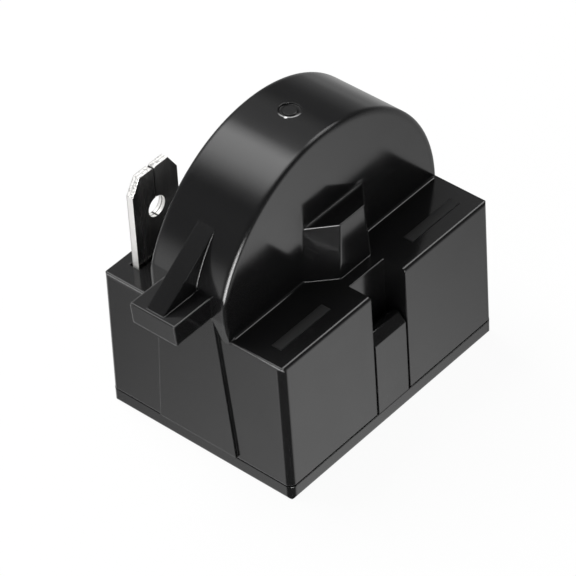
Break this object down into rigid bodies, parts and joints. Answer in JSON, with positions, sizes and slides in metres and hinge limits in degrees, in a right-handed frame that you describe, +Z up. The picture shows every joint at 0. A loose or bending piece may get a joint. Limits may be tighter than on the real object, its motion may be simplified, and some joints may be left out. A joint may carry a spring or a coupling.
{
  "type": "compressor start relay",
  "caption": "Plug-on start relay for a refrigerator compressor: black moulded housing with a half drum for an upright ceramic disc, a side grip shelf, a spade tab and pin sockets underneath.",
  "frame": {"origin": "middle of the underside of the base cover, where the two pins of the compressor come in", "axes": "+X along the long side, away from the grip shelf; +Y from the slotted front to the back with the spade tab; +Z up, from the underside to the top of the drum"},
  "size_m": [0.0365, 0.0234, 0.0328],
  "materials": {
    "moulded_plastic": "black moulded plastic, smooth, slightly worn at the edges",
    "tinned_brass": "bright tin plate",
    "spring_steel": "stainless spring steel, rolled",
    "disc_ceramic": "grey ceramic with metallised faces"
  },
  "bodies": {
    "root": {"housing": "moulded_plastic", "base_cover": "moulded_plastic", "ptc_disc": "disc_ceramic", "run_terminal": "tinned_brass", "start_terminal": "tinned_brass", "run_contact_spring": "spring_steel", "start_contact_spring": "spring_steel", "run_spring_rivet": "tinned_brass", "start_spring_rivet": "tinned_brass", "run_socket_clip": "spring_steel", "start_socket_clip": "spring_steel"}
  },
  "joints": []
}
